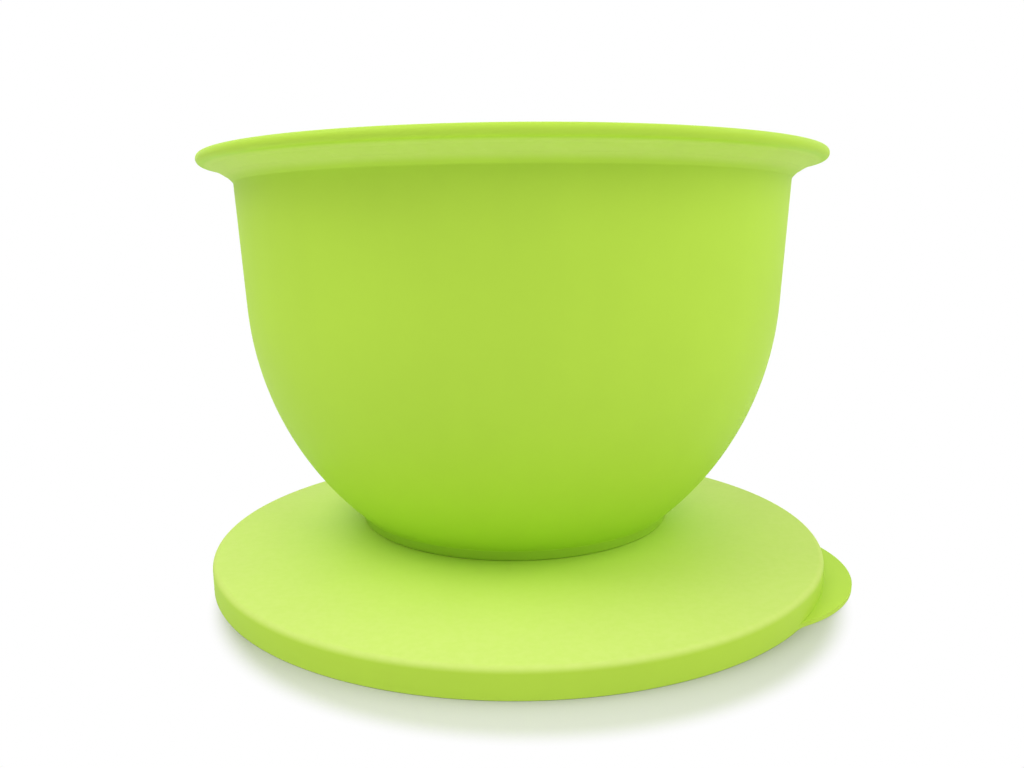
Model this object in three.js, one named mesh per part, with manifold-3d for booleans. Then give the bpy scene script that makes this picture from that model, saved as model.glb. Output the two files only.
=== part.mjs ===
// A plastic mixing bowl with a flared rim, standing on its own press-on lid.
// Millimetres, +Z up. The lid lies on the plane z = 0, and the origin is under the middle of the whole.
import * as THREE from "three";
import { mergeVertices } from "three/addons/utils/BufferGeometryUtils.js";
import Module from "manifold-3d";

const { degToRad } = THREE.MathUtils;

// Bowl.
const RIM_RADIUS = 120; // tip of the lip
const BOWL_HEIGHT = 146; // underside of the foot to the top of the lip
const WALL_THICKNESS = 2.4;
const WALL_DRAFT = degToRad(1);
const WALL_STRAIGHT = 45.4; // plain conical wall between the flare and the rounded belly
const FLARE_REACH = 12.3; // from the outside of the wall to the tip of the lip
const FLARE_HEIGHT = 9.5; // from the corner under the flare to the top of the lip
const FLARE_THICKNESS = 2.5;
const LIP_PROUD = 1.2; // how far the lip's round bead stands above the flare
const LIP_SLOPE = degToRad(6); // rise of the flare where it meets the lip
const MOUTH_ROUND = 6; // inner wall to the top of the flare
const FOOT_RADIUS = 67.5; // at the crease under the belly
const FOOT_HEIGHT = 4.4; // outside of the foot ring, up to the crease
const FOOT_DRAFT = degToRad(12); // the ring's outside leans in towards its bottom
const FOOT_WIDTH = 3.4; // at the crease
const FOOT_ROUND = 0.8;
const FOOT_RECESS = 2.2; // hollow under the base, inside the foot ring
const BASE_THICKNESS = 2.6;
const FLOOR_ROUND = 16; // inner wall to the flat floor

// Lid.
const PANEL_THICKNESS = 1.8;
const SKIRT_THICKNESS = 1.5; // at the bottom edge
const SKIRT_DRAFT = degToRad(2);
const SKIRT_LEAD = 1.8; // plain skirt below the snap bead
const SNAP_HEIGHT = 2.8;
const SNAP_REACH = 1; // how far the snap bead hooks under the bowl's lip
const LIP_CLEARANCE = 0.3; // around the lip when the lid is on
const RIB_WIDTH = 1.2; // ring under the panel that drops inside the lip
const SHOULDER_ROUND = 2.3; // outer top edge
const TAB_REACH = 10.2; // beyond the skirt
const TAB_RADIUS = 62; // curve of the tab's edge
const TAB_BLEND = 12; // hollow curve from the skirt to the tab's edge
const TAB_THICKNESS = 1.6;
const TAB_DIRECTION = degToRad(-17.5); // from +X, towards the front

// The bowl stands this far behind the middle of the lid and to the left of it.
const BOWL_SETBACK = 27;
const BOWL_SIDESTEP = 0.9;

// Steps around and along the curves.
const TURN_STEPS = 72;
const LONG_CURVE_STEPS = 10;
const SHORT_CURVE_STEPS = 4;
const BEAD_STEPS = 6;
const EDGE_STEPS = 2;
const SAME_POINT = 0.001; // corners closer than this are one

const PLASTIC_ROUGHNESS = 0.45;
const BOWL_COLOUR = 0xbce442;
const LID_COLOUR = 0xc7e452;

// Sizes shared by the bowl and the lid that closes it.
const lipThickness = FLARE_THICKNESS + LIP_PROUD;
const lipRadius = lipThickness / 2;
const skirtInner = RIM_RADIUS + LIP_CLEARANCE;
const lidRadius = skirtInner + SKIRT_THICKNESS;
const snapTop = SKIRT_LEAD + SNAP_HEIGHT;
const panelUnderside = snapTop + LIP_CLEARANCE + lipThickness;
const lidHeight = panelUnderside + PANEL_THICKNESS;

const wasm = await Module();
wasm.setup();

function point(x, y) {
  return new THREE.Vector2(x, y);
}

// The point at a distance from another along a direction.
function along(start, direction, distance) {
  return start.clone().addScaledVector(direction, distance);
}

// Angle of the direction from one point to another.
function bearing(from, to) {
  return to.clone().sub(from).angle();
}

// Points on an arc about a centre, both ends included.
function arc(centre, radius, start, end, steps) {
  const points = [];
  for (let i = 0; i <= steps; i += 1) {
    const angle = start + ((end - start) * i) / steps;
    points.push(point(centre.x + radius * Math.cos(angle), centre.y + radius * Math.sin(angle)));
  }
  return points;
}

// Where two circles cross, on the left of the line from the first centre to the second.
function crossing(centreA, radiusA, centreB, radiusB) {
  const between = centreB.clone().sub(centreA);
  const distance = between.length();
  const forward = between.divideScalar(distance);
  const left = point(-forward.y, forward.x);
  const reach = (radiusA ** 2 - radiusB ** 2 + distance ** 2) / (2 * distance);
  const rise = Math.sqrt(radiusA ** 2 - reach ** 2);
  return along(along(centreA, forward, reach), left, rise);
}

// A turned solid from half of its section, which starts and ends on the axis.
function turned(section) {
  return new THREE.LatheGeometry(section, TURN_STEPS).rotateX(Math.PI / 2);
}

function solidFrom(geometry) {
  const bare = geometry.clone().deleteAttribute("normal").deleteAttribute("uv");
  const merged = mergeVertices(bare, SAME_POINT);
  const vertProperties = new Float32Array(merged.attributes.position.array);
  const triVerts = new Uint32Array(merged.index.array);
  return new wasm.Manifold(new wasm.Mesh({ numProp: 3, vertProperties, triVerts }));
}

function geometryFrom(solid) {
  const { vertProperties, triVerts } = solid.getMesh();
  const geometry = new THREE.BufferGeometry();
  geometry.setAttribute("position", new THREE.BufferAttribute(vertProperties, 3));
  geometry.setIndex(new THREE.BufferAttribute(triVerts, 1));
  geometry.computeVertexNormals();
  return geometry;
}

function plastic(color) {
  return new THREE.MeshStandardMaterial({ color, roughness: PLASTIC_ROUGHNESS, metalness: 0 });
}

// Half section of the bowl, from the middle of its underside, up the outside and down the inside.
function bowlSection() {
  const down = point(-Math.sin(WALL_DRAFT), -Math.cos(WALL_DRAFT));
  const inward = point(-Math.cos(WALL_DRAFT), Math.sin(WALL_DRAFT));

  // The belly is one arc from the end of the straight wall to the crease above the foot ring.
  const flareRoot = point(RIM_RADIUS - FLARE_REACH, BOWL_HEIGHT - FLARE_HEIGHT);
  const bellyTop = along(flareRoot, down, WALL_STRAIGHT);
  const crease = point(FOOT_RADIUS, FOOT_HEIGHT);
  const chord = crease.clone().sub(bellyTop);
  const bellyRadius = chord.lengthSq() / (2 * chord.dot(inward));
  const bellyCentre = along(bellyTop, inward, bellyRadius);

  // The flare curves out of the crisp corner under it and runs smoothly into the lip's bead.
  const lipCentre = point(RIM_RADIUS - lipRadius, BOWL_HEIGHT - lipRadius);
  const lipDown = point(Math.sin(LIP_SLOPE), -Math.cos(LIP_SLOPE));
  const lipRoot = along(lipCentre, lipDown, lipRadius);
  const span = lipRoot.clone().sub(flareRoot);
  const flareRadius = -span.lengthSq() / (2 * span.dot(lipDown));
  const flareCentre = along(lipRoot, lipDown, flareRadius);
  const topRadius = flareRadius + FLARE_THICKNESS;
  const lipEnd = crossing(flareCentre, topRadius, lipCentre, lipRadius);

  // The mouth rounds from the top of the flare into the inner wall.
  const innerTop = along(flareRoot, inward, WALL_THICKNESS);
  const innerBellyTop = along(bellyTop, inward, WALL_THICKNESS);
  const track = along(innerTop, inward, -MOUTH_ROUND).sub(flareCentre);
  const fall = track.dot(down);
  const drop = -fall - Math.sqrt(fall ** 2 - track.lengthSq() + (topRadius - MOUTH_ROUND) ** 2);
  const mouthCentre = track.addScaledVector(down, drop).add(flareCentre);

  // The inside follows the wall at its thickness, then rounds into the flat floor.
  const floor = FOOT_RECESS + BASE_THICKNESS;
  const innerRadius = bellyRadius - WALL_THICKNESS;
  const roundRise = bellyCentre.y - floor - FLOOR_ROUND;
  const roundReach = Math.sqrt((innerRadius - FLOOR_ROUND) ** 2 - roundRise ** 2);
  const roundCentre = point(bellyCentre.x + roundReach, floor + FLOOR_ROUND);
  const roundStart = -Math.atan2(roundRise, roundReach);

  const footInner = FOOT_RADIUS - FOOT_WIDTH;
  const footLean = (FOOT_HEIGHT - FOOT_ROUND) * Math.sin(FOOT_DRAFT);
  const footInset = (FOOT_ROUND + footLean) / Math.cos(FOOT_DRAFT);
  const footCentre = point(FOOT_RADIUS - footInset, FOOT_ROUND);
  const creaseAngle = bearing(bellyCentre, crease) - 2 * Math.PI;
  const flareStart = bearing(flareCentre, flareRoot);
  const flareEnd = LIP_SLOPE + Math.PI / 2;
  const lipStart = LIP_SLOPE - Math.PI / 2;
  const mouthStart = bearing(flareCentre, mouthCentre);
  return [
    point(0, FOOT_RECESS),
    point(footInner, FOOT_RECESS),
    point(footInner, 0),
    ...arc(footCentre, FOOT_ROUND, -Math.PI / 2, -FOOT_DRAFT, EDGE_STEPS),
    ...arc(bellyCentre, bellyRadius, creaseAngle, -WALL_DRAFT, LONG_CURVE_STEPS),
    ...arc(flareCentre, flareRadius, flareStart, flareEnd, SHORT_CURVE_STEPS),
    ...arc(lipCentre, lipRadius, lipStart, Math.PI / 2, BEAD_STEPS).slice(1),
    ...arc(lipCentre, lipRadius, Math.PI / 2, bearing(lipCentre, lipEnd), SHORT_CURVE_STEPS).slice(1),
    ...arc(flareCentre, topRadius, bearing(flareCentre, lipEnd), mouthStart, SHORT_CURVE_STEPS).slice(1),
    ...arc(mouthCentre, MOUTH_ROUND, mouthStart, Math.PI - WALL_DRAFT, SHORT_CURVE_STEPS).slice(1),
    innerBellyTop,
    ...arc(bellyCentre, innerRadius, -WALL_DRAFT, roundStart, LONG_CURVE_STEPS).slice(1),
    ...arc(roundCentre, FLOOR_ROUND, roundStart, -Math.PI / 2, SHORT_CURVE_STEPS).slice(1),
    point(0, floor),
  ];
}

// Half section of the lid, from the middle of its underside, round the skirt and over the top.
function lidSection() {
  const ribOuter = RIM_RADIUS - lipThickness - LIP_CLEARANCE;
  const ribInner = ribOuter - RIB_WIDTH;
  const ribBottom = panelUnderside - LIP_PROUD;

  // The snap bead bulges in from the skirt.
  const bulge = SNAP_REACH + LIP_CLEARANCE;
  const beadRadius = (bulge ** 2 + (SNAP_HEIGHT / 2) ** 2) / (2 * bulge);
  const beadCentre = point(skirtInner - bulge + beadRadius, SKIRT_LEAD + SNAP_HEIGHT / 2);
  const beadTop = bearing(beadCentre, point(skirtInner, snapTop));
  const beadBottom = bearing(beadCentre, point(skirtInner, SKIRT_LEAD));

  // The shoulder rounds from the leaning skirt into the flat top.
  const shoulderHeight = lidHeight - SHOULDER_ROUND;
  const shoulderInset = (SHOULDER_ROUND + shoulderHeight * Math.sin(SKIRT_DRAFT)) / Math.cos(SKIRT_DRAFT);
  const shoulderCentre = point(lidRadius - shoulderInset, shoulderHeight);
  return [
    point(0, panelUnderside),
    point(ribInner, panelUnderside),
    point(ribInner, ribBottom),
    point(ribOuter, ribBottom),
    point(ribOuter, panelUnderside),
    point(skirtInner, panelUnderside),
    ...arc(beadCentre, beadRadius, beadTop, beadBottom, SHORT_CURVE_STEPS),
    point(skirtInner, 0),
    point(lidRadius, 0),
    ...arc(shoulderCentre, SHOULDER_ROUND, SKIRT_DRAFT, Math.PI / 2, SHORT_CURVE_STEPS),
    point(0, lidHeight),
  ];
}

// The finger tab: a flat crescent level with the skirt's bottom edge and rooted in the skirt.
function tabGeometry() {
  const middle = point(0, 0);
  const skirtFace = lidRadius * Math.cos(Math.PI / TURN_STEPS);
  const root = lidRadius - SKIRT_THICKNESS / 2;
  const tabCentre = point(lidRadius + TAB_REACH - TAB_RADIUS, 0);
  const blendCentre = crossing(middle, skirtFace + TAB_BLEND, tabCentre, TAB_RADIUS + TAB_BLEND);
  const spread = bearing(middle, blendCentre);
  const turn = bearing(tabCentre, blendCentre);

  const outline = new THREE.Shape();
  outline.absarc(middle.x, middle.y, root, spread, -spread, true);
  outline.absarc(blendCentre.x, -blendCentre.y, TAB_BLEND, Math.PI - spread, Math.PI - turn, true);
  outline.absarc(tabCentre.x, tabCentre.y, TAB_RADIUS, -turn, turn, false);
  outline.absarc(blendCentre.x, blendCentre.y, TAB_BLEND, turn - Math.PI, spread - Math.PI, true);
  outline.closePath();
  const settings = { depth: TAB_THICKNESS, bevelEnabled: false, curveSegments: LONG_CURVE_STEPS };
  return new THREE.ExtrudeGeometry(outline, settings).rotateZ(TAB_DIRECTION);
}

const bowl = new THREE.Mesh(turned(bowlSection()), plastic(BOWL_COLOUR));
bowl.name = "bowl";
bowl.position.set(-BOWL_SIDESTEP, BOWL_SETBACK, lidHeight);

const lidSolid = solidFrom(turned(lidSection())).add(solidFrom(tabGeometry()));
const lid = new THREE.Mesh(geometryFrom(lidSolid), plastic(LID_COLOUR));
lid.name = "lid";

// The pair stands with the middle of its box over the origin.
const pair = new THREE.Group();
pair.add(bowl, lid);
const box = new THREE.Box3().setFromObject(pair);
const centre = box.getCenter(new THREE.Vector3());
pair.position.set(-centre.x, -centre.y, -box.min.z);

const part = new THREE.Group();
part.add(pair);

export default part;
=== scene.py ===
"""A deep lime-green plastic mixing bowl that stands on its own press-on lid, lit for a picture."""
import math

import bmesh
import bpy
from mathutils import Matrix, Vector


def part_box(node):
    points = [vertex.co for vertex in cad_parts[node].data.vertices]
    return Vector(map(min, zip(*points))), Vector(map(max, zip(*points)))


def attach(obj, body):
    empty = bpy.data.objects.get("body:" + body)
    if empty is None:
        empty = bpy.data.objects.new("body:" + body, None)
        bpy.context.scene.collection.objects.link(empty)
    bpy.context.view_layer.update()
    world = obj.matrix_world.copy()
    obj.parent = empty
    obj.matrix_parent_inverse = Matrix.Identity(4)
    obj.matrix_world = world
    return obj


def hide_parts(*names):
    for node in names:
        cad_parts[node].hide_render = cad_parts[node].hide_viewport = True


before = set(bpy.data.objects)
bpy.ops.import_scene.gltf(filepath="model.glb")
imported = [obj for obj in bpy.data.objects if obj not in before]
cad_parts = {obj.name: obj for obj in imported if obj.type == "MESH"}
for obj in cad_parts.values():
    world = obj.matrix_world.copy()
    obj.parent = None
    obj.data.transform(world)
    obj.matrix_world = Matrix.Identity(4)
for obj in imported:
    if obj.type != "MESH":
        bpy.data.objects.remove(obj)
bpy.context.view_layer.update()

MM = 0.001
QUARTER = math.pi / 2
WHITE = (1, 1, 1, 1)

# Places and main sizes, from the frame.
bowl_low, bowl_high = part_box("bowl")
lid_low, lid_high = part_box("lid")
FOOT_LEVEL = bowl_low.z
BOWL_HEIGHT = bowl_high.z - bowl_low.z
RIM_RADIUS = (bowl_high.x - bowl_low.x) / 2
LID_HEIGHT = lid_high.z - lid_low.z
LID_RADIUS = (lid_high.y - lid_low.y) / 2
BOWL_AXIS = Vector(((bowl_low.x + bowl_high.x) / 2, (bowl_low.y + bowl_high.y) / 2, FOOT_LEVEL))
LID_AXIS = Vector((lid_low.x + LID_RADIUS, (lid_low.y + lid_high.y) / 2, lid_low.z))

# Bowl.
WALL_THICKNESS = 2.4 * MM
WALL_DRAFT = math.radians(1)
WALL_STRAIGHT = 45.4 * MM
FLARE_REACH = 12.3 * MM
FLARE_HEIGHT = 9.5 * MM
FLARE_THICKNESS = 2.5 * MM
LIP_PROUD = 1.2 * MM
LIP_SLOPE = math.radians(6)
LIP_THICKNESS = FLARE_THICKNESS + LIP_PROUD
LIP_RADIUS = LIP_THICKNESS / 2
MOUTH_ROUND = 6 * MM
FOOT_RADIUS = 67.5 * MM
FOOT_HEIGHT = 4.4 * MM
FOOT_DRAFT = math.radians(12)
FOOT_WIDTH = 3.4 * MM
FOOT_ROUND = 0.8 * MM
FOOT_RECESS = 2.2 * MM
CREASE_ROUND = 0.5 * MM
BASE_THICKNESS = 2.6 * MM
FLOOR_ROUND = 16 * MM
FLOOR_LEVEL = FOOT_RECESS + BASE_THICKNESS
BAND_INNER = 110.8 * MM  # low band round the underside of the flare
BAND_OUTER = 115 * MM
BAND_PROUD = 0.2 * MM
BAND_EDGE = math.radians(1.2)
GATE_RADIUS = 4 * MM  # shallow dimple under the middle of the base
GATE_DEPTH = 0.5 * MM

# Lid.
PANEL_THICKNESS = 1.8 * MM
SKIRT_THICKNESS = 1.5 * MM
SKIRT_DRAFT = math.radians(2)
SKIRT_LEAD = 1.8 * MM
SNAP_HEIGHT = 2.8 * MM
SNAP_REACH = 1 * MM
LIP_CLEARANCE = 0.3 * MM
RIB_WIDTH = 1.2 * MM
SHOULDER_ROUND = 2.3 * MM
EDGE_ROUND = 0.35 * MM
TAB_REACH = 10.2 * MM
TAB_RADIUS = 62 * MM
TAB_BLEND = 12 * MM
TAB_THICKNESS = 1.6 * MM
TAB_DIRECTION = math.radians(-17.5)
TAB_OFFSET = Vector((LID_RADIUS + TAB_REACH - TAB_RADIUS, 0))
TAB_MIDDLE = LID_AXIS + (Matrix.Rotation(TAB_DIRECTION, 2) @ TAB_OFFSET).to_3d()

# Steps around and along the curves, and what counts as one point or one smooth surface.
TURN_STEPS = 240
LONG_STEPS = 40
SHORT_STEPS = 14
EDGE_STEPS = 4
SAME_POINT = 0.002 * MM
SMOOTH_ANGLE = math.radians(35)

# Plastic: its colours, and how much of the painted shade colour or of the pale colour of wear and painted
# light shows in each place.
BOWL_COLOUR = (0.545, 0.825, 0.074)
LID_COLOUR = (0.56, 0.8, 0.077)
# Painted shade: this darker green is mixed into the foot ring and the skirt where shade falls.
PAINTED_SHADE_COLOUR = (0.28, 0.54, 0.03, 1)
# Painted shade on the foot ring.
RING_PAINTED_SHADE = 0.36
# Painted shade on the skirt, darker than the lit top.
SKIRT_PAINTED_SHADE = 0.14
# A pale colour mixed in for real wear at the lid's bottom edge and for painted light on the lid's top and the
# flare.
WEAR_AND_LIGHT_COLOUR = (1, 0.975, 0.555, 1)
# Painted light: the lid's top is made paler towards its edge, as if lit from above.
TOP_PAINTED_LIGHT = 0.26
TOP_PAINTED_LIGHT_FROM = 20 * MM
EDGE_WEAR = 0.04
EDGE_WEAR_FULL = 0.2 * MM
EDGE_WEAR_END = 1 * MM
# Painted light: the flare is made paler, as if lit from below.
FLARE_PAINTED_LIGHT = 0.2
FLARE_PAINTED_LIGHT_FADE = 3 * MM

# Plastic: clouds, flow streaks and specks in its tone, scratches in its wear and painted light, grain and
# waves in its surface.
TONE_SPREAD = 0.015
CLOUD_SCALE = 24
CLOUD_DETAIL = 3
CLOUD_SHARE = 0.6
STREAK_SCALE = 60
STREAK_STRETCH = (1, 1, 0.12)
STREAK_SHARE = 0.3
SPECK_SCALE = 900
SPECK_SHARE = 0.1
SCRATCH_SCALE = 420
SCRATCH_DETAIL = 4
SCRATCH_SPREAD = 0.16
GRAIN_SCALE = 2300
GRAIN_SHARE = 0.7
GRAIN_DEPTH = 0.04 * MM
GRAIN_STRENGTH = 0.16
WAVE_SCALE = 110
WAVE_SHARE = 0.3
NOISE_LOW = 0.3
NOISE_MIDDLE = 0.5
NOISE_HIGH = 0.7
PLASTIC_ROUGHNESS = 0.5
CLOUD_DULLING = 0.1
SPECK_DULLING = 0.08
WEAR_AND_LIGHT_DULLING = 0.5
PLASTIC_GLOSS = 0.12

# White floor, with a soft shadow in front of the lid and a darker line where the lid touches it.
FLOOR_SIZE = 6
FLOOR_COLOUR = (0.92, 0.92, 0.92, 1)
SHADOW_MIDDLE = LID_AXIS + Vector((4, -24, 0)) * MM
SHADOW_COLOUR = (0.76, 0.77, 0.715, 1)
SHADOW_FULL = LID_RADIUS - 11 * MM
SHADOW_END = LID_RADIUS - 1 * MM
CONTACT_REACH = 20 * MM
CONTACT_COLOUR = (0.3, 0.32, 0.25, 1)
CONTACT_SAMPLES = 16

# Light: for each lamp the bearing to the right of the front and the height, in degrees, then the level.
SURROUND_LEVEL = 0.22
LAMP_AIM = Vector((0, 0, 70)) * MM
LAMP_DISTANCE = 1.4
LAMP_SIZE = 0.9
LAMPS = {
    "front_right_lamp": (40, 45, 0.305),
    "front_left_lamp": (-40, 45, 0.185),
    "right_lamp": (92, 32, 0.28),
    "left_lamp": (-85, 55, 0.43),
    "back_lamp": (180, 25, 0.21),
}

# The camera, from the photograph's perspective.
CAMERA_PLACE = BOWL_AXIS + Vector((-1.242, -361.44, 116.58)) * MM
CAMERA_PITCH = math.radians(16.70)
CAMERA_ROLL = -0.0093  # radians
CAMERA_LENS = 29.6
CAMERA_SENSOR = 36
CAMERA_SHIFT = 0.103
CAMERA_NEAR = 10 * MM


def along(start, direction, distance):
    return start + direction * distance


def bearing(start, end):
    way = end - start
    return math.atan2(way.y, way.x)


def arc(centre, radius, start, end, steps):
    """Points on an arc about a centre, both ends included."""
    angles = [start + (end - start) * i / steps for i in range(steps + 1)]
    return [centre + radius * Vector((math.cos(a), math.sin(a))) for a in angles]


def crossing(centre_a, radius_a, centre_b, radius_b):
    """Where two circles cross, on the left of the line from the first centre to the second."""
    between = centre_b - centre_a
    forward = between.normalized()
    left = Vector((-forward.y, forward.x))
    reach = (radius_a**2 - radius_b**2 + between.length_squared) / (2 * between.length)
    return centre_a + forward * reach + left * math.sqrt(radius_a**2 - reach**2)


def select_points(piece, places):
    """Selects, in edit mode, the vertices that lie at these places."""
    mesh = bmesh.from_edit_mesh(piece.data)
    for vertex in mesh.verts:
        vertex.select = any((vertex.co - place).length < SAME_POINT for place in places)
    mesh.select_flush(True)
    bmesh.update_edit_mesh(piece.data)


def drawn_line(name, places):
    """A new mesh, left in edit mode, with one line of vertices extruded from place to place."""
    bpy.ops.object.select_all(action="DESELECT")
    bpy.ops.mesh.primitive_plane_add(size=MM, location=(0, 0, 0))
    piece = bpy.context.object
    piece.name = name
    bpy.ops.object.mode_set(mode="EDIT")
    bpy.ops.mesh.merge(type="CENTER")
    bpy.ops.transform.translate(value=places[0])
    for here, there in zip(places, places[1:]):
        bpy.ops.mesh.extrude_vertices_move(TRANSFORM_OT_translate={"value": there - here})
    return piece


def turned(name, axis, section, rounding, corners):
    """A half section, with some of its corners rounded, spun once round an upright axis."""

    def place(corner):
        return Vector((axis.x + corner.x, axis.y, axis.z + corner.y))

    piece = drawn_line(name, [place(corner) for corner in section])
    select_points(piece, [place(corner) for corner in corners])
    bpy.ops.mesh.bevel(offset=rounding, segments=EDGE_STEPS, affect="VERTICES")
    bpy.ops.mesh.select_all(action="SELECT")
    bpy.ops.mesh.spin(steps=TURN_STEPS, angle=2 * math.pi, center=axis, axis=(0, 0, 1))
    bpy.ops.mesh.select_all(action="SELECT")
    bpy.ops.mesh.remove_doubles(threshold=SAME_POINT)
    bpy.ops.mesh.normals_make_consistent(inside=False)
    bpy.ops.object.mode_set(mode="OBJECT")
    return piece


def bowl_moulding():
    """The bowl: foot ring, belly, straight wall, banded flare and round lip, then the plain inside."""
    down = Vector((-math.sin(WALL_DRAFT), -math.cos(WALL_DRAFT)))
    inward = Vector((-math.cos(WALL_DRAFT), math.sin(WALL_DRAFT)))

    flare_root = Vector((RIM_RADIUS - FLARE_REACH, BOWL_HEIGHT - FLARE_HEIGHT))
    belly_top = along(flare_root, down, WALL_STRAIGHT)
    crease = Vector((FOOT_RADIUS, FOOT_HEIGHT))
    chord = crease - belly_top
    belly_radius = chord.length_squared / (2 * chord.dot(inward))
    belly_centre = along(belly_top, inward, belly_radius)

    lip_centre = Vector((RIM_RADIUS - LIP_RADIUS, BOWL_HEIGHT - LIP_RADIUS))
    lip_down = Vector((math.sin(LIP_SLOPE), -math.cos(LIP_SLOPE)))
    lip_root = along(lip_centre, lip_down, LIP_RADIUS)
    span = lip_root - flare_root
    flare_radius = -span.length_squared / (2 * span.dot(lip_down))
    flare_centre = along(lip_root, lip_down, flare_radius)
    top_radius = flare_radius + FLARE_THICKNESS
    lip_end = crossing(flare_centre, top_radius, lip_centre, LIP_RADIUS)
    flare_start = bearing(flare_centre, flare_root)
    flare_end = LIP_SLOPE + QUARTER
    band_start = math.acos((BAND_INNER - flare_centre.x) / flare_radius)
    band_end = math.acos((BAND_OUTER - flare_centre.x) / flare_radius)
    band_radius = flare_radius - BAND_PROUD

    inner_top = along(flare_root, inward, WALL_THICKNESS)
    track = along(inner_top, inward, -MOUTH_ROUND) - flare_centre
    fall = track.dot(down)
    drop = -fall - math.sqrt(fall**2 - track.length_squared + (top_radius - MOUTH_ROUND) ** 2)
    mouth_centre = flare_centre + along(track, down, drop)
    mouth_start = bearing(flare_centre, mouth_centre)

    inner_radius = belly_radius - WALL_THICKNESS
    rise = belly_centre.y - FLOOR_LEVEL - FLOOR_ROUND
    reach = math.sqrt((inner_radius - FLOOR_ROUND) ** 2 - rise**2)
    round_centre = Vector((belly_centre.x + reach, FLOOR_LEVEL + FLOOR_ROUND))
    round_start = -math.atan2(rise, reach)

    foot_lean = (FOOT_HEIGHT - FOOT_ROUND) * math.sin(FOOT_DRAFT)
    foot_inset = (FOOT_ROUND + foot_lean) / math.cos(FOOT_DRAFT)
    foot_centre = Vector((FOOT_RADIUS - foot_inset, FOOT_ROUND))
    recess_corner = Vector((FOOT_RADIUS - FOOT_WIDTH, FOOT_RECESS))
    foot_inner = Vector((FOOT_RADIUS - FOOT_WIDTH, 0))
    section = [
        Vector((0, FOOT_RECESS + GATE_DEPTH)),
        Vector((GATE_RADIUS - GATE_DEPTH, FOOT_RECESS + GATE_DEPTH)),
        Vector((GATE_RADIUS, FOOT_RECESS)),
        recess_corner,
        foot_inner,
        *arc(foot_centre, FOOT_ROUND, -QUARTER, -FOOT_DRAFT, EDGE_STEPS),
        *arc(belly_centre, belly_radius, bearing(belly_centre, crease), -WALL_DRAFT, LONG_STEPS),
        *arc(flare_centre, flare_radius, flare_start, band_start + BAND_EDGE, SHORT_STEPS),
        *arc(flare_centre, band_radius, band_start, band_end, SHORT_STEPS),
        *arc(flare_centre, flare_radius, band_end - BAND_EDGE, flare_end, SHORT_STEPS),
        *arc(lip_centre, LIP_RADIUS, LIP_SLOPE - QUARTER, QUARTER, LONG_STEPS)[1:],
        *arc(lip_centre, LIP_RADIUS, QUARTER, bearing(lip_centre, lip_end), SHORT_STEPS)[1:],
        *arc(flare_centre, top_radius, bearing(flare_centre, lip_end), mouth_start, SHORT_STEPS)[1:],
        *arc(mouth_centre, MOUTH_ROUND, mouth_start, math.pi - WALL_DRAFT, SHORT_STEPS)[1:],
        *arc(belly_centre, inner_radius, -WALL_DRAFT, round_start, LONG_STEPS),
        *arc(round_centre, FLOOR_ROUND, round_start, -QUARTER, SHORT_STEPS)[1:],
        Vector((0, FLOOR_LEVEL)),
    ]
    corners = [flare_root, crease, recess_corner, foot_inner, lip_end]
    return turned("bowl_moulding", BOWL_AXIS, section, CREASE_ROUND, corners)


def lid_shell():
    """The lid without its tab: panel, shoulder, skirt with its snap bead, and the ring under the panel."""
    skirt_inner = LID_RADIUS - SKIRT_THICKNESS
    panel_underside = LID_HEIGHT - PANEL_THICKNESS
    rib_outer = RIM_RADIUS - LIP_THICKNESS - LIP_CLEARANCE
    rib_inner = rib_outer - RIB_WIDTH
    rib_bottom = panel_underside - LIP_PROUD

    bulge = SNAP_REACH + LIP_CLEARANCE
    bead_radius = (bulge**2 + (SNAP_HEIGHT / 2) ** 2) / (2 * bulge)
    bead_centre = Vector((skirt_inner - bulge + bead_radius, SKIRT_LEAD + SNAP_HEIGHT / 2))
    bead_half = math.asin(SNAP_HEIGHT / 2 / bead_radius)

    shoulder_level = LID_HEIGHT - SHOULDER_ROUND
    inset = (SHOULDER_ROUND + shoulder_level * math.sin(SKIRT_DRAFT)) / math.cos(SKIRT_DRAFT)
    shoulder_centre = Vector((LID_RADIUS - inset, shoulder_level))

    rib_corners = [Vector((rib_inner, rib_bottom)), Vector((rib_outer, rib_bottom))]
    skirt_corners = [Vector((skirt_inner, 0)), Vector((LID_RADIUS, 0))]
    section = [
        Vector((0, panel_underside)),
        Vector((rib_inner, panel_underside)),
        *rib_corners,
        Vector((rib_outer, panel_underside)),
        Vector((skirt_inner, panel_underside)),
        *arc(bead_centre, bead_radius, math.pi - bead_half, math.pi + bead_half, SHORT_STEPS),
        *skirt_corners,
        *arc(shoulder_centre, SHOULDER_ROUND, SKIRT_DRAFT, QUARTER, SHORT_STEPS),
        Vector((0, LID_HEIGHT)),
    ]
    return turned("lid_moulding", LID_AXIS, section, EDGE_ROUND, rib_corners + skirt_corners)


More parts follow.
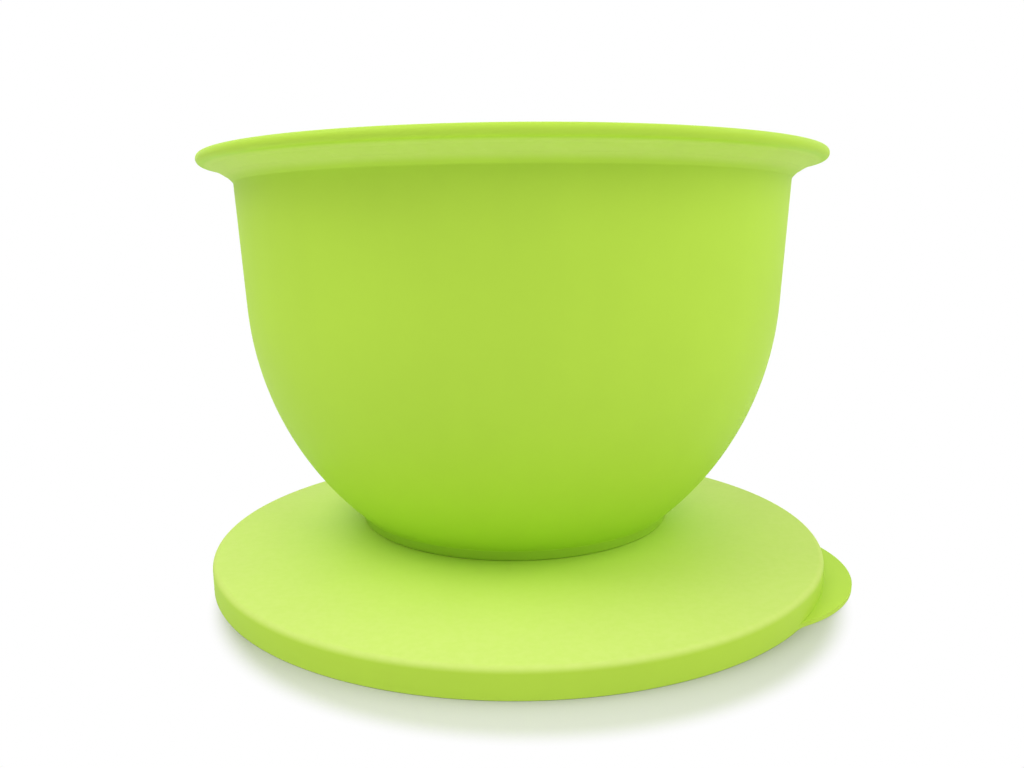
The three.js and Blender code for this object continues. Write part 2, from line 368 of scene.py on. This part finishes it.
def finger_tab():
    """The flat crescent tab, level with the skirt's bottom edge and rooted inside the skirt."""
    middle = Vector((0, 0))
    root = LID_RADIUS - SKIRT_THICKNESS / 2
    blend_centre = crossing(middle, LID_RADIUS + TAB_BLEND, TAB_OFFSET, TAB_RADIUS + TAB_BLEND)
    spread = bearing(middle, blend_centre)
    turn = bearing(TAB_OFFSET, blend_centre)
    mirrored = Vector((blend_centre.x, -blend_centre.y))
    outline = [
        *arc(middle, root, spread, -spread, LONG_STEPS),
        *arc(mirrored, TAB_BLEND, math.pi - spread, math.pi - turn, SHORT_STEPS),
        *arc(TAB_OFFSET, TAB_RADIUS, -turn, turn, LONG_STEPS)[1:],
        *arc(blend_centre, TAB_BLEND, turn - math.pi, spread - math.pi, SHORT_STEPS)[1:],
    ]
    swing = Matrix.Rotation(TAB_DIRECTION, 2)
    places = [(swing @ corner).to_3d() + LID_AXIS for corner in outline]
    piece = drawn_line("finger_tab", places)
    bpy.ops.mesh.select_all(action="SELECT")
    bpy.ops.mesh.edge_face_add()
    bpy.ops.mesh.extrude_region_move(TRANSFORM_OT_translate={"value": (0, 0, TAB_THICKNESS)})
    bpy.ops.mesh.select_all(action="SELECT")
    bpy.ops.mesh.normals_make_consistent(inside=False)
    mesh = bmesh.from_edit_mesh(piece.data)
    for edge in mesh.edges:
        edge.select = abs(edge.verts[0].co.z - edge.verts[1].co.z) < SAME_POINT
    mesh.select_flush_mode()
    bmesh.update_edit_mesh(piece.data)
    bpy.ops.mesh.bevel(offset=EDGE_ROUND, segments=EDGE_STEPS, affect="EDGES")
    bpy.ops.object.mode_set(mode="OBJECT")
    return piece


def lid_moulding():
    """The lid's shell and its tab joined into one moulding."""
    shell = lid_shell()
    tab = finger_tab()
    bpy.ops.object.select_all(action="DESELECT")
    shell.select_set(True)
    bpy.context.view_layer.objects.active = shell
    join = shell.modifiers.new("tab", "BOOLEAN")
    join.operation = "UNION"
    join.solver = "EXACT"
    join.object = tab
    bpy.ops.object.modifier_apply(modifier=join.name)
    bpy.data.objects.remove(tab)
    return shell


def smoothed(piece):
    """Smooth shading that keeps the sharper edges crisp."""
    bpy.ops.object.select_all(action="DESELECT")
    piece.select_set(True)
    bpy.context.view_layer.objects.active = piece
    bpy.ops.object.shade_smooth_by_angle(angle=SMOOTH_ANGLE)
    return piece


class Value:
    """A number that varies over a surface, for use in Python arithmetic."""

    def __init__(self, finish, socket):
        self.finish = finish
        self.socket = socket

    def __add__(self, other):
        return self.finish.maths("ADD", self, other)

    def __radd__(self, other):
        return self.finish.maths("ADD", other, self)

    def __sub__(self, other):
        return self.finish.maths("SUBTRACT", self, other)

    def __rsub__(self, other):
        return self.finish.maths("SUBTRACT", other, self)

    def __mul__(self, other):
        return self.finish.maths("MULTIPLY", self, other)

    def __rmul__(self, other):
        return self.finish.maths("MULTIPLY", other, self)

    def between(self, low, high):
        """0 below the low value, 1 above the high one, and smooth from one to the other."""
        settings = {"interpolation_type": "SMOOTHSTEP"}
        inputs = {"Value": self, "From Min": low, "From Max": high}
        return self.finish.node("ShaderNodeMapRange", settings, inputs, "Result")


class Finish:
    """The nodes of one material or of the world."""

    def __init__(self, owner):
        owner.use_nodes = True
        self.tree = owner.node_tree
        self.tree.nodes.clear()

    def node(self, kind, settings, inputs, output):
        """Adds a node with its settings, then its sockets' values or links, and gives one output."""
        made = self.tree.nodes.new(kind)
        for name, setting in settings.items():
            setattr(made, name, setting)
        for name, given in inputs.items():
            if isinstance(given, Value):
                self.tree.links.new(given.socket, made.inputs[name])
            else:
                made.inputs[name].default_value = given
        return Value(self, made.outputs[output]) if output is not None else made

    def maths(self, operation, *values):
        return self.node("ShaderNodeMath", {"operation": operation}, dict(enumerate(values)), 0)

    def colours(self, share, first, second):
        """A blend of two colours."""
        return self.node("ShaderNodeMix", {"data_type": "RGBA"}, {0: share, 6: first, 7: second}, 2)

    def surfaces(self, share, first, second):
        """A blend of two surfaces or backgrounds."""
        return self.node("ShaderNodeMixShader", {}, {0: share, 1: first, 2: second}, 0)

    def matt(self, colour):
        return self.node("ShaderNodeBsdfDiffuse", {}, {"Color": colour}, 0)

    def noise(self, place, scale, detail=2, stretch=(1, 1, 1)):
        """Soft noise from 0 to 1, with its pattern stretched along the axes."""
        placed = self.node("ShaderNodeMapping", {}, {"Vector": place, "Scale": stretch}, "Vector")
        inputs = {"Vector": placed, "Scale": scale, "Detail": detail}
        return self.node("ShaderNodeTexNoise", {}, inputs, 0)

    def place(self):
        return self.node("ShaderNodeTexCoord", {}, {}, "Object")

    def distance(self, place, middle):
        inputs = {0: place, 1: middle}
        return self.node("ShaderNodeVectorMath", {"operation": "DISTANCE"}, inputs, "Value")


def shaded(colour, share):
    """A colour made lighter or darker."""
    return (*(channel * share for channel in colour), 1)


def moulded_plastic(name, colour, axis, painted_shade_places, wear_and_light_places):
    """Satin plastic: faint clouds and flow streaks, a fine grain, darker where shade is painted, and paler
    where it has wear or where light is painted.
    """
    material = bpy.data.materials.new(name)
    finish = Finish(material)
    place = finish.place()
    centred = finish.node("ShaderNodeVectorMath", {"operation": "SUBTRACT"}, {0: place, 1: axis}, 0)
    parts = finish.node("ShaderNodeSeparateXYZ", {}, {0: centred}, None)
    across, deep, height = (Value(finish, socket) for socket in parts.outputs)
    radius = finish.maths("SQRT", across * across + deep * deep)

    clouds = finish.noise(place, CLOUD_SCALE, CLOUD_DETAIL)
    streaks = finish.noise(place, STREAK_SCALE, stretch=STREAK_STRETCH)
    specks = finish.noise(place, SPECK_SCALE)
    tone = clouds * CLOUD_SHARE + streaks * STREAK_SHARE + specks * SPECK_SHARE
    darker = shaded(colour, 1 - TONE_SPREAD)
    lighter = shaded(colour, 1 + TONE_SPREAD)
    body = finish.colours(tone.between(NOISE_LOW, NOISE_HIGH), darker, lighter)
    # Painted shade mixed into the colour.
    shade_painted = finish.colours(painted_shade_places(radius, height), body, PAINTED_SHADE_COLOUR)

    scratches = finish.noise(place, SCRATCH_SCALE, SCRATCH_DETAIL).between(NOISE_LOW, NOISE_HIGH)
    worn_and_lit = wear_and_light_places(radius, height) * (1 - SCRATCH_SPREAD / 2 + scratches * SCRATCH_SPREAD)
    # Pale colour mixed in for wear and for painted light.
    seen = finish.colours(worn_and_lit, shade_painted, WEAR_AND_LIGHT_COLOUR)

    relief = finish.noise(place, GRAIN_SCALE) * GRAIN_SHARE + finish.noise(place, WAVE_SCALE) * WAVE_SHARE
    bumps = {"Strength": GRAIN_STRENGTH, "Distance": GRAIN_DEPTH, "Height": relief}
    grain = finish.node("ShaderNodeBump", {}, bumps, "Normal")
    clouded = (clouds - NOISE_MIDDLE) * CLOUD_DULLING + (specks - NOISE_MIDDLE) * SPECK_DULLING
    roughness = PLASTIC_ROUGHNESS + clouded + worn_and_lit * WEAR_AND_LIGHT_DULLING
    look = {"Base Color": seen, "Roughness": roughness, "Normal": grain, "Specular IOR Level": PLASTIC_GLOSS}
    plastic = finish.node("ShaderNodeBsdfPrincipled", {}, look, "BSDF")
    finish.node("ShaderNodeOutputMaterial", {}, {"Surface": plastic}, None)
    return material


def bowl_painted_shade_places(radius, height):
    """Painted shade on the bowl's foot ring, in the crease under the belly."""
    ring_inner = FOOT_RADIUS - FOOT_WIDTH
    outside = radius.between(ring_inner, ring_inner + FOOT_ROUND)
    return outside * (1 - height.between(FOOT_HEIGHT - CREASE_ROUND, FOOT_HEIGHT)) * RING_PAINTED_SHADE


def bowl_painted_light_places(radius, _height):
    """Painted light on the flare, up to the lip."""
    flare_root = RIM_RADIUS - FLARE_REACH
    flare = radius.between(flare_root, flare_root + FLARE_PAINTED_LIGHT_FADE)
    lip = radius.between(RIM_RADIUS - LIP_THICKNESS, RIM_RADIUS - LIP_RADIUS)
    return flare * (1 - lip) * FLARE_PAINTED_LIGHT


def lid_painted_shade_places(radius, height):
    """Painted shade on the lid's skirt, darker than the top, but not on its thin tab."""
    skirt = radius.between(LID_RADIUS - SHOULDER_ROUND, LID_RADIUS - SHOULDER_ROUND / 2)
    tab = radius.between(LID_RADIUS, LID_RADIUS + EDGE_ROUND)
    return (skirt - tab) * (1 - height.between(LID_HEIGHT - SHOULDER_ROUND, LID_HEIGHT)) * SKIRT_PAINTED_SHADE


def lid_wear_and_painted_light_places(radius, height):
    """Painted light on the lid's top, paler towards the edge, and wear at the bottom of its skirt."""
    top = height.between(LID_HEIGHT - SHOULDER_ROUND, LID_HEIGHT) * radius.between(TOP_PAINTED_LIGHT_FROM, LID_RADIUS)
    bottom = 1 - height.between(EDGE_WEAR_FULL, EDGE_WEAR_END)
    return top * TOP_PAINTED_LIGHT + bottom * EDGE_WEAR


def floor_finish():
    """White floor: darker close to what stands on it, plain white further out, and open under lid and tab."""
    material = bpy.data.materials.new("white_floor")
    finish = Finish(material)
    place = finish.place()

    def outside(middle, radius):
        return finish.distance(place, middle).between(radius - SKIRT_THICKNESS, radius - EDGE_ROUND)

    in_view = finish.node("ShaderNodeLightPath", {}, {}, "Is Camera Ray")
    from_below = finish.node("ShaderNodeNewGeometry", {}, {}, "Backfacing")
    open_sky = finish.node(
        "ShaderNodeAmbientOcclusion", {"samples": CONTACT_SAMPLES}, {"Distance": CONTACT_REACH}, "AO"
    )
    white = finish.node("ShaderNodeEmission", {}, {"Strength": 1}, 0)
    clear = finish.node("ShaderNodeBsdfTransparent", {}, {}, 0)
    shadow = finish.surfaces(open_sky, finish.matt(CONTACT_COLOUR), finish.matt(SHADOW_COLOUR))
    far = finish.distance(place, SHADOW_MIDDLE).between(SHADOW_FULL, SHADOW_END)
    shown = finish.surfaces(far, shadow, white)
    lit = finish.surfaces(in_view, finish.matt(FLOOR_COLOUR), shown)
    covered = 1 - outside(LID_AXIS, LID_RADIUS) * outside(TAB_MIDDLE, TAB_RADIUS)
    unseen = finish.maths("MAXIMUM", from_below * in_view, covered)
    surface = finish.surfaces(unseen, lit, clear)
    finish.node("ShaderNodeOutputMaterial", {}, {"Surface": surface}, None)
    return material


def white_floor():
    """A wide level floor under the lid."""
    bpy.ops.mesh.primitive_plane_add(size=FLOOR_SIZE, location=(0, 0, 0))
    plane = bpy.context.object
    plane.name = "floor"
    plane.data.materials.append(floor_finish())
    return plane


def white_surround():
    """A white background, and the same soft white light from all round at a plain level."""
    world = bpy.data.worlds.new("white_surround")
    finish = Finish(world)
    path = finish.node("ShaderNodeLightPath", {}, {}, None)
    shown = Value(finish, path.outputs["Is Camera Ray"])
    for ray in ("Is Glossy Ray", "Is Transmission Ray"):
        shown = finish.maths("MAXIMUM", shown, Value(finish, path.outputs[ray]))
    soft = finish.node("ShaderNodeBackground", {}, {"Color": WHITE, "Strength": SURROUND_LEVEL}, 0)
    white = finish.node("ShaderNodeBackground", {}, {"Color": WHITE, "Strength": 1}, 0)
    surface = finish.surfaces(shown, soft, white)
    finish.node("ShaderNodeOutputWorld", {}, {"Surface": surface}, None)
    bpy.context.scene.world = world


def softbox(name, bearing_right, height_angle, level):
    """A square soft light, as seen from the bowl; its level is the grey of a white card that faces it."""
    way = Vector((math.sin(bearing_right), -math.cos(bearing_right), math.tan(height_angle))).normalized()
    bpy.ops.object.light_add(type="AREA", location=LAMP_AIM + way * LAMP_DISTANCE)
    lamp = bpy.context.object
    lamp.name = name
    lamp.data.size = LAMP_SIZE
    lamp.data.energy = level * (math.pi * LAMP_DISTANCE) ** 2
    lamp.rotation_euler = (-way).to_track_quat("-Z", "Y").to_euler()


def photo_camera():
    """The camera, as it stood for the photograph."""
    view = bpy.data.cameras.new("camera")
    view.lens = CAMERA_LENS
    view.sensor_width = CAMERA_SENSOR
    view.shift_y = CAMERA_SHIFT
    view.clip_start = CAMERA_NEAR
    camera = bpy.data.objects.new("camera", view)
    bpy.context.scene.collection.objects.link(camera)
    camera.location = CAMERA_PLACE
    tilt = Matrix.Rotation(QUARTER - CAMERA_PITCH, 3, "X") @ Matrix.Rotation(CAMERA_ROLL, 3, "Z")
    camera.rotation_euler = tilt.to_euler()
    return camera


bowl = smoothed(bowl_moulding())
bowl.data.materials.append(
    moulded_plastic("bowl_plastic", BOWL_COLOUR, BOWL_AXIS, bowl_painted_shade_places, bowl_painted_light_places)
)
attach(bowl, "bowl")
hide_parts("bowl")

lid = smoothed(lid_moulding())
lid.data.materials.append(
    moulded_plastic("lid_plastic", LID_COLOUR, LID_AXIS, lid_painted_shade_places, lid_wear_and_painted_light_places)
)
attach(lid, "lid")
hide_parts("lid")

floor = white_floor()
white_surround()
for lamp_name, (lamp_bearing, lamp_height, lamp_level) in LAMPS.items():
    softbox(lamp_name, math.radians(lamp_bearing), math.radians(lamp_height), lamp_level)
bpy.context.scene.camera = photo_camera()
bpy.context.scene.view_settings.view_transform = "Standard"
